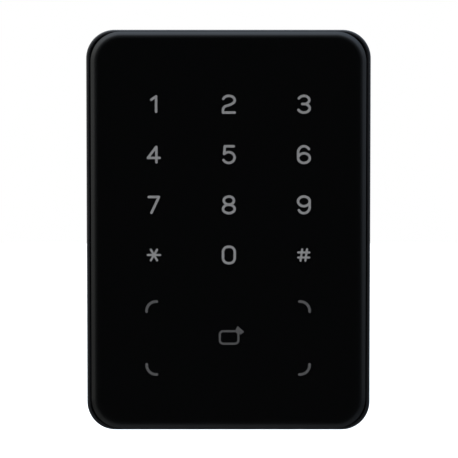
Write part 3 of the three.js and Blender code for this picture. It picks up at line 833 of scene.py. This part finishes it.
def key_strokes():
    """The centre lines of each key's sign, as (points, closed), about the key's centre."""
    side, top, slash = DIGIT_SIDE, DIGIT_TOP, 1.85
    two_bend = arc_points((0, 1.2), (side, 1.285), 162, -42, 20)
    two_foot = arc_points((-0.35, -1.65), (1.385, 1.2), 105, 180, 10)
    return {
        "1": [([(0.72, -2.26), (0.72, 2.3)], False), ([(0.72, 2.32), (-0.72, 1.35)], False)],
        "2": [
            (two_bend + [(0.75, 0.0), (0.2, -0.21)] + two_foot + [(-side, -2.48)], False),
            ([(-side, -top), (side, -top)], False),
        ],
        "3": [
            (arc_points((-0.05, 1.26), (1.6, 1.225), 158, -80, 20), False),
            (arc_points((-0.05, -1.2), (side, 1.285), 82, -158, 22), False),
            ([(-0.55, 0.06), (0.2, 0.06)], False),
        ],
        "4": [
            ([(0.78, 2.27), (0.78, -2.27)], False),
            ([(0.72, 2.27), (-1.7, -0.92)], False),
            ([(-1.74, -0.98), (1.74, -0.98)], False),
        ],
        "5": [
            ([(1.45, top), (-1.2, top)], False),
            ([(-1.2, top), (-1.4, 0.25)], False),
            ([(-1.4, 0.2)] + arc_points((-0.05, -0.87), (1.75, 1.615), 128, -152, 24), False),
        ],
        "6": six(),
        "7": [([(-1.51, 2.36), (1.51, 2.36)], False), ([(1.51, 2.36), (-0.72, -2.36)], False)],
        "8": [(oval(0, 1.28, 1.5, 1.205), True), (oval(0, -1.22, side, 1.265), True)],
        "9": six(-1),
        "0": [(rounded_outline(3.5, 4.92, 1.55, 10), True)],
        "star": [
            ([(-x, -y), (x, y)], False)
            for x, y in arc_points((0, 0), (slash, slash), 0, 120, 2)
        ],
        "hash": [
            ([(x - 0.24, -1.68), (x + 0.24, 1.68)], False) for x in (-0.72, 0.72)
        ] + [([(-1.65, y), (1.65, y)], False) for y in (-0.76, 0.76)],
    }


def key_marks():
    """All twelve signs as one thin solid."""
    shapes = key_strokes()
    strokes = []
    for index, name in enumerate(KEY_NAMES):
        x = KEY_CENTRE_X + (index % 3 - 1) * KEY_PITCH_X
        y = TOP_ROW_Y - (index // 3) * KEY_PITCH_Y
        width = SIGN_STROKE if name in ("star", "hash") else DIGIT_STROKE
        for line, closed in shapes[name]:
            strokes.append(ribbon([(x + px, y + py) for px, py in line], width, closed))
    return combine_all(strokes[0], strokes[1:], "UNION")


def zone_marks():
    """Four corner arcs round the card reading zone, each with short straight ends."""
    half_x, half_y, radius, straight = 24.4, 10.95, 2.75, 0.3
    centre = (half_x - radius, half_y - radius)
    bend = arc_points(centre, (radius, radius), 0, 90, 14)
    corner = [(half_x, centre[1] - straight), *bend, (centre[0] - straight, half_y)]
    strokes = [
        ribbon([(ZONE_X + side_x * x, ZONE_Y + side_y * y) for x, y in corner], ZONE_STROKE)
        for side_x, side_y in corners(1, 1)
    ]
    return combine_all(strokes[0], strokes[1:], "UNION")


def card_mark():
    """A card outline with an arrowhead over its corner."""
    outline = [(CARD_X + px, CARD_Y + py) for px, py in rounded_outline(5.55, 3.76, 1.05, 8)]
    arrow = [(2.1, -29.65), (3.65, -31.1), (4.7, -30.25), (2.75, -28.5)]
    arrowhead = prism(arrow, FRONT - MARK_DEPTH, FRONT + MARK_PROUD)
    return combine(ribbon(outline, SIGN_STROKE, True), arrowhead, "UNION")


# -------- back

RECESS_TOP, RECESS_BOTTOM, RECESS_FLOOR, RECESS_WIDTH = 50.3, -52.0, 5.5, 73
COVER_FLOOR, COVER_FRONT = 7.0, HOUSING_Z[0] - 0.2


def cover_openings():
    """Cutters for screw holes, hook pockets, cable, plunger and lock screw, room to swing, seal groove."""
    cutters = []
    for x, y in corners(COVER_SCREW_X, COVER_SCREW_Y):
        cutters += [rod_out(x, y, 1.6, -1, 10), rod_out(x, y, 2.9, -1, 4.7)]
    for x in HOOKS_X:
        cutters.append(block(x - 6, x + 6, RECESS_TOP - 1, 54, 3.1, RECESS_FLOOR))
    cutters += [rod_out(0, CABLE_ENTRY_Y, 4.8, 4, 9), rod_out(PLUNGER_X, PLUNGER_Y, 2.5, 4, 9)]
    insert_bore, screw_way = rod_up(2.25, -49, -41.85), rod_up(1.8, -62, -55.5)
    cutters += [insert_bore, screw_way, rod_up(2.7, -62, -58.1)]
    # The back above the recess leans forward, so that it clears the wall as the reader swings.
    lean_end, lean_start, lean_rise = 61.0, 0.4, 3.6 / (60 - RECESS_TOP)
    leaned = lean_start + lean_rise * (lean_end - RECESS_TOP)
    swing = [(-1, RECESS_TOP), (lean_start, RECESS_TOP), (leaned, lean_end), (-1, lean_end)]
    cutters.append(side_profile(swing, -50, 50))
    groove = combine(inset_plate(1.2, 8.2, 10), inset_plate(2.2, 7, 11), "DIFFERENCE")
    return cutters + [groove]


def rear_cover():
    """The tray that carries everything: shell, bracket recess, posts, lock pocket with its boss."""
    rear_edge = [(0.5 * inset, 0.4 + 0.5 * rise) for inset, rise in quarter_round(5)]
    front_edge = [(0, COVER_FRONT - 0.12), (0.12, COVER_FRONT)]
    shell = stack("cover", rear_edge + front_edge, 24)
    recess_height = RECESS_TOP - RECESS_BOTTOM
    recess_y = (RECESS_TOP + RECESS_BOTTOM) / 2
    recess = rounded_plate(RECESS_WIDTH, recess_height, 5, -1, RECESS_FLOOR, 0, recess_y, 14)
    shell = combine_all(shell, [inset_plate(3.4, COVER_FLOOR, 10), recess], "DIFFERENCE")
    inside = inset_plate(2.6, 5.6, 10)
    screw_posts = [rod_out(x, y, 3.6, 6, COVER_FRONT) for x, y in corners(COVER_SCREW_X, COVER_SCREW_Y)]
    posts = [combine(post, inside, "INTERSECT") for post in screw_posts]
    posts += [rod_out(x, y, 2.6, 6.5, 7.85) for x, y in BOARD_SCREWS]
    lock_pocket_wall = block(-9.2, 9.2, -57, -45.7, 6.5, 10.1)
    shell = combine_all(shell, posts + [lock_pocket_wall], "UNION")
    lock_pocket = block(-8, 8, -56.5, -47.2, -1, 8.9)
    insert_boss = block(-3.7, 3.7, -48.2, -41, 1.7, 9.4)
    shell = combine(combine(shell, lock_pocket, "DIFFERENCE"), insert_boss, "UNION")
    board_holes = [rod_out(x, y, 1.1, 6.1, 9) for x, y in BOARD_SCREWS]
    return bevelled(combine_all(shell, cover_openings() + board_holes, "DIFFERENCE"), 0.12)


def cable_grommet():
    """A rubber ring with a flange behind the cover's floor and a snap-in bead in front of it."""
    profile = [(3.2, 4.75), (3.45, 4.5), (5.7, 4.5), (6.1, 4.6), (6.34, 4.85), (6.4, 5.1), (6.34, 5.4)]
    profile += [(4.5, 5.4), (4.5, 7.1), (5.4, 7.15), (5.3, 7.4), (4.9, 7.8), (3.4, 7.8), (3.2, 7.6)]
    mesh = turned(profile)
    mesh.transform(Matrix.Translation((0, CABLE_ENTRY_Y, 0)))
    return mesh


def tamper_plunger():
    """A pin with a rounded tip towards the wall, a collar inside the cover and a stem for its spring."""
    radius, tip, collar = 2.2, -2.0, 3.5
    profile = [(0, tip)] + [(radius - 0.8 * inset, tip + 0.8 * rise) for inset, rise in quarter_round(6)]
    profile += [(radius, 7.2), (2.3, 7.3), (collar - 0.1, 7.3), (collar, 7.4)]
    profile += [(collar, 8.15), (collar - 0.1, 8.25)]
    profile += [(1.0, 8.25), (1.0, 9.4), (0.8, 9.6), (0, 9.6)]
    mesh = turned(profile)
    mesh.transform(Matrix.Translation((PLUNGER_X, PLUNGER_Y, 0)))
    return mesh


def wire_along_path():
    """Gives a path a round wire."""
    tree, given = geometry_tree("wire_along_path", {"Wire Radius": "Float", "Wire Sides": "Int"})
    path = add(tree, "GeometryNodeMeshToCurve", {"Mesh": given["Geometry"]}).outputs["Curve"]
    section = add(tree, "GeometryNodeCurvePrimitiveCircle", {
        "Radius": given["Wire Radius"],
        "Resolution": given["Wire Sides"],
    }).outputs["Curve"]
    wire = add(tree, "GeometryNodeCurveToMesh", {
        "Curve": path,
        "Profile Curve": section,
        "Fill Caps": True,
    }).outputs["Mesh"]
    close_tree(tree, given, wire)
    return tree


def tamper_spring(tree):
    """Three and a half turns of wire round the plunger's stem."""
    turns, steps, radius, wire, back, front = 3.5, 28, 2.3, 0.4, 8.6, 11.6
    count = round(turns * steps)
    points = []
    for i in range(count + 1):
        angle = 2 * math.pi * i / steps
        along = back + wire / 2 + (front - back - wire) * i / count
        x, y = PLUNGER_X + radius * math.cos(angle), PLUNGER_Y + radius * math.sin(angle)
        points.append((x, y, along))
    helix = line_mesh("helix", points)
    return grow(tree, "plated_steel", helix, Wire_Radius=wire / 2, Wire_Sides=10)


def antenna_coil(tree):
    """Four layers of wire wound round a rounded rectangle, nine turns to a layer."""
    layers, turns, wire, corner_steps = 4, 9, 0.27, 5
    width, height, radius, y_centre, back = 58, 33, 6, -33, 11.4
    points = []
    for layer in range(layers):
        z = back + wire * (layer + 0.6)
        order = range(turns) if layer % 2 == 0 else reversed(range(turns))
        for turn in order:
            inset = 0.25 + turn * wire * 1.08
            loop = rounded_outline(width - 2 * inset, height - 2 * inset, radius - inset, corner_steps)
            points += [(x, y + y_centre, z) for x, y in loop]
    winding = line_mesh("winding", points)
    return grow(tree, "copper_wire", winding, Wire_Radius=wire / 2, Wire_Sides=6)


# -------- screws

def cross_recess(size, depth):
    """A straight-sided cross for the driver."""
    arms = [block(-size / 2, size / 2, -size * 0.14, size * 0.14, -1, depth) for _ in range(2)]
    arms[1].transform(Matrix.Rotation(math.pi / 2, 4, "Z"))
    return combine(*arms, "UNION")


def cover_screw():
    """One screw about the z axis, its rounded head at the back."""
    back, head_radius, head, shank, tip = 2.6, 2.5, 1.8, 1.3, 14.0
    dome = [(head_radius - 0.6 * inset, back + 0.6 * rise) for inset, rise in quarter_round(6)]
    profile = [(0, back), *dome, (head_radius, back + head), (shank, back + head), (shank, tip - 0.7)]
    profile += [(shank - 0.6, tip), (0, tip)]
    recess = cross_recess(2.6, back + 0.9)
    return bevelled(combine(turned(profile), recess, "DIFFERENCE"), 0.06, 50)


def repeat_on_grid():
    """Copies a piece to the points of a grid centred on the axis."""
    sizes = {"Spacing X": "Float", "Spacing Y": "Float", "Count X": "Int", "Count Y": "Int"}
    tree, given = geometry_tree("repeat_on_grid", sizes)
    grid = add(tree, "GeometryNodeMeshGrid", {
        "Size X": given["Spacing X"],
        "Size Y": given["Spacing Y"],
        "Vertices X": given["Count X"],
        "Vertices Y": given["Count Y"],
    }).outputs["Mesh"]
    copied = {"Points": grid, "Instance": given["Geometry"]}
    copies = add(tree, "GeometryNodeInstanceOnPoints", copied).outputs["Instances"]
    close_tree(tree, given, copies)
    return tree


def lock_screw():
    """Captive screw from below: hex socket head, collar, and a cut thread at the top."""
    head, shank, bottom = 2.3, 1.5, -59.8
    collar, collar_bottom, collar_top = 3.2, -51.5, -50.5
    thread_start, pitch, thread_depth, rings = -49.9, 0.6, 0.22, 66
    edge = [(head - 0.3 * inset, bottom + 0.3 * rise) for inset, rise in quarter_round(5)]
    profile = [(0, bottom), *edge, (head, bottom + 1.3), (head - 0.1, bottom + 1.4), (shank, bottom + 1.4)]
    profile += [(shank, collar_bottom), (3.1, collar_bottom), (collar, -51.4)]
    profile += [(collar, -50.6), (3.1, collar_top), (shank, collar_top)]
    for i in range(rings + 1):
        profile.append((shank, thread_start + (LOCK_TOP - 0.5 - thread_start) * i / rings))
    profile += [(shank - 0.5, LOCK_TOP), (0, LOCK_TOP)]

    def threaded(radius, angle, along):
        if radius != shank or not thread_start < along < LOCK_TOP - 0.3:
            return radius
        phase = (along / pitch - angle / (2 * math.pi)) % 1
        return radius - thread_depth * abs(2 * phase - 1)

    screw = turned(profile, 36, threaded)
    socket = prism(circle(1.15, 6), bottom - 1, bottom + 1)
    cut = combine(screw, socket, "DIFFERENCE")
    cut.transform(LOCK_AXIS)
    return cut


# -------- wall bracket

SHEET = 1.3


def bent_hook(x):
    """A tongue folded out of the plate's top edge, with its lip turned up."""
    top, lip_back, lip_top, bend = 50.0, 3.4, 52.8, 1.5
    front = lip_back + SHEET
    outer = arc_points((front - bend, top - SHEET + bend), (bend, bend), -90, 0, 8)
    inner = arc_points((lip_back - 0.25, top + 0.25), (0.25, 0.25), 0, -90, 4)
    profile = [(0.2, top - SHEET), *outer, (front, lip_top - 0.35), (front - 0.35, lip_top)]
    profile += [(lip_back, lip_top), *inner, (0.2, top)]
    return side_profile(profile, x - 5, x + 5)


def slot_cutter(x, y, width, height):
    return rounded_plate(width, height, min(width, height) / 2 - 0.01, -1, 3, x, y, 10)


def wall_bracket():
    """Stamped plate with folded hooks, a lanced tab for the lock screw, and its fixing slots."""
    plate = rounded_plate(70, 100, 4, 0, SHEET, steps=12)
    slots = [(-30, 0, 4, 9), (30, 0, 4, 9), (0, 30, 9, 4), (0, -30, 9, 4)]
    slots += [(-26.5, -22, 2.4, 7), (26.5, -22, 2.4, 7)]
    cable_window = rounded_plate(28, 17, 3, -1, 3, 0, -11.5)
    tab_window = block(-6.6, 6.6, -48.71, -39.5, -1, 3)
    cutters = [cable_window, tab_window, *[slot_cutter(*slot) for slot in slots]]
    cutters.append(rod_out(PLUNGER_X, PLUNGER_Y, 3.6, -1, 3))
    cutters += [rod_out(x, y, 1.9, -1, 3, 28) for x, y in corners(27, 41)]
    plate = combine_all(plate, cutters, "DIFFERENCE")
    tab = block(-6, 6, -50, SHEET - 50, 0.3, 8)
    tab_slot = combine(block(-1.9, 1.9, -52, -46, LOCK_DEPTH, 9), rod_up(1.9, -52, -46), "UNION")
    tab = combine(tab, tab_slot, "DIFFERENCE")
    folded = [bent_hook(x) for x in HOOKS_X] + [tab]
    return bevelled(combine_all(plate, folded, "UNION"), 0.12)


# -------- the object

def build_reader():
    place("front_panel", touch_panel(), "panel_gloss", "reader", ["touch_panel"])
    place("panel_frame", front_housing(), "frame_plastic", "reader", ["front_housing"])
    place("key_marks", key_marks(), "key_print", "reader")
    place("zone_marks", zone_marks(), "zone_print", "reader")
    place("card_mark", card_mark(), "card_print", "reader")
    place("cover_shell", rear_cover(), "housing_plastic", "reader", ["rear_cover"])
    place("cable_seal", cable_grommet(), "black_rubber", "reader", ["cable_grommet"])
    screws = grow(
        repeat_on_grid(), "black_screw", cover_screw(),
        Spacing_X=2 * COVER_SCREW_X, Spacing_Y=2 * COVER_SCREW_Y, Count_X=2, Count_Y=2,
    )
    names = [f"cover_screw_{i}" for i in (1, 2, 3, 4)]
    place("cover_screws", screws, "black_screw", "reader", names)
    wire = wire_along_path()
    spring = place(
        "plunger_spring", tamper_spring(wire), "plated_steel", "reader", ["tamper_spring"],
    )
    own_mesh(spring)
    place("wound_antenna", antenna_coil(wire), "copper_wire", "reader", ["antenna_coil"])


def build_other_bodies():
    place("wall_plate", wall_bracket(), "bracket_steel", "bracket", ["wall_bracket"])
    place("security_screw", lock_screw(), "plated_steel", "screw", ["lock_screw"])
    place("wall_feeler", tamper_plunger(), "white_plastic", "plunger", ["tamper_plunger"])


# -------- stage, light and camera

# Brightness of the soft surroundings at each height of the direction, from straight down to straight up
SKY_LEVELS = [
    (-1.0, 0.25), (-0.25, 0.25), (-0.1, 0.4), (0.02, 0.68), (0.2, 0.85), (0.65, 1.48), (1.0, 1.9),
]
# Its red, green and blue: at the left, at the right, and what the top adds
SKY_TINT = {"X": (1.0, 0.84, -0.05), "Y": (1.02, 0.95, 0.0), "Z": (1.0, 1.1, 0.09)}
RIGHT_SIDE = 0.72
DARK_FRONT = 0.011


def floor():
    """A pale floor well below, seen only from above."""
    bm = bmesh.new()
    span = [(-6, -1.0), (6, -1.0), (6, 8), (-6, 8)]
    bm.faces.new([bm.verts.new((x, y, -0.45)) for x, y in span])
    obj = bpy.data.objects.new("floor", mesh_of(bm, "floor"))
    bpy.context.scene.collection.objects.link(obj)
    material = bpy.data.materials.new("pale_floor")
    material.use_nodes = True
    tree = material.node_tree
    shader = tree.nodes["Principled BSDF"]
    shader.inputs["Base Color"].default_value = (0.86, 0.86, 0.86, 1)
    shader.inputs["Roughness"].default_value = 0.8
    clear = tree.nodes.new("ShaderNodeBsdfTransparent").outputs["BSDF"]
    behind = tree.nodes.new("ShaderNodeNewGeometry").outputs["Backfacing"]
    mixed = add(tree, "ShaderNodeMixShader", {0: behind, 1: shader.outputs["BSDF"], 2: clear})
    tree.links.new(mixed.outputs["Shader"], tree.nodes["Material Output"].inputs["Surface"])
    obj.data.materials.append(material)
    obj.visible_glossy = False


def sky():
    """White to the eye; to surfaces a soft box overhead that falls off to the sides, and dark in front."""
    world = bpy.data.worlds.new("studio")
    bpy.context.scene.world = world
    world.use_nodes = True
    tree = world.node_tree
    tree.nodes.clear()
    direction = add(tree, "ShaderNodeTexCoord").outputs["Generated"]
    parts = add(tree, "ShaderNodeSeparateXYZ", {"Vector": direction}).outputs
    falloff = SKY_LEVELS[0][1]
    for (low, start), (high, end) in zip(SKY_LEVELS, SKY_LEVELS[1:]):
        step = remap(tree, parts["Z"], low, high, 0.0, end - start)
        falloff = math_node(tree, "ADD", step, falloff)
    sides = remap(tree, parts["Y"], -0.86, -0.6, 0.0, 0.75)
    front = math_node(tree, "ADD", remap(tree, parts["Y"], -0.985, -0.86, 0.0, 0.25), sides)
    right = remap(tree, parts["X"], -0.2, 0.8, 1.0, RIGHT_SIDE)
    level = math_node(tree, "MULTIPLY", math_node(tree, "MULTIPLY", falloff, front), right)
    level = math_node(tree, "ADD", level, DARK_FRONT)
    above = remap(tree, parts["Z"], 0.3, 0.9)
    channels = {}
    for axis, (left_tint, right_tint, top_tint) in SKY_TINT.items():
        across = remap(tree, parts["X"], -0.8, 0.6, left_tint, right_tint)
        channels[axis] = math_node(tree, "ADD", across, math_node(tree, "MULTIPLY", above, top_tint))
    cool = add(tree, "ShaderNodeCombineXYZ", channels).outputs["Vector"]
    soft = add(tree, "ShaderNodeBackground", {"Color": cool, "Strength": level})
    plain = add(tree, "ShaderNodeBackground", {"Color": (1, 1, 1, 1), "Strength": 1.0})
    eye = add(tree, "ShaderNodeLightPath").outputs["Is Camera Ray"]
    both = add(tree, "ShaderNodeMixShader", {
        0: eye,
        1: soft.outputs["Background"],
        2: plain.outputs["Background"],
    })
    tree.links.new(both.outputs["Shader"], add(tree, "ShaderNodeOutputWorld").inputs["Surface"])


def aim(obj, at):
    obj.rotation_euler = (Vector(at) - obj.location).to_track_quat("-Z", "Y").to_euler()


def main_light():
    light = bpy.data.lights.new("overhead", "SUN")
    light.energy = 2.5
    light.angle = math.radians(60)
    obj = bpy.data.objects.new("overhead", light)
    obj.location = (-0.2, -0.8, 2.0)
    bpy.context.scene.collection.objects.link(obj)
    aim(obj, (0, 0, 0))
    obj.visible_glossy = False
    obj.visible_camera = False


def studio():
    floor()
    sky()
    main_light()


def camera():
    data = bpy.data.cameras.new("camera")
    data.sensor_width = 36.0
    data.lens = 157.3
    data.shift_x = 0.00116
    data.shift_y = 0.0035
    data.clip_end = 60.0
    obj = bpy.data.objects.new("camera", data)
    elevation, distance, depth = math.radians(2.81), 0.6, 0.018
    obj.location = (0, -depth - distance * math.cos(elevation), distance * math.sin(elevation))
    obj.rotation_euler = (math.pi / 2 - elevation, 0, 0)
    bpy.context.scene.collection.objects.link(obj)
    bpy.context.scene.camera = obj
    bpy.context.scene.view_settings.view_transform = "Standard"


dress_cad_nodes()
build_reader()
build_other_bodies()
studio()
camera()
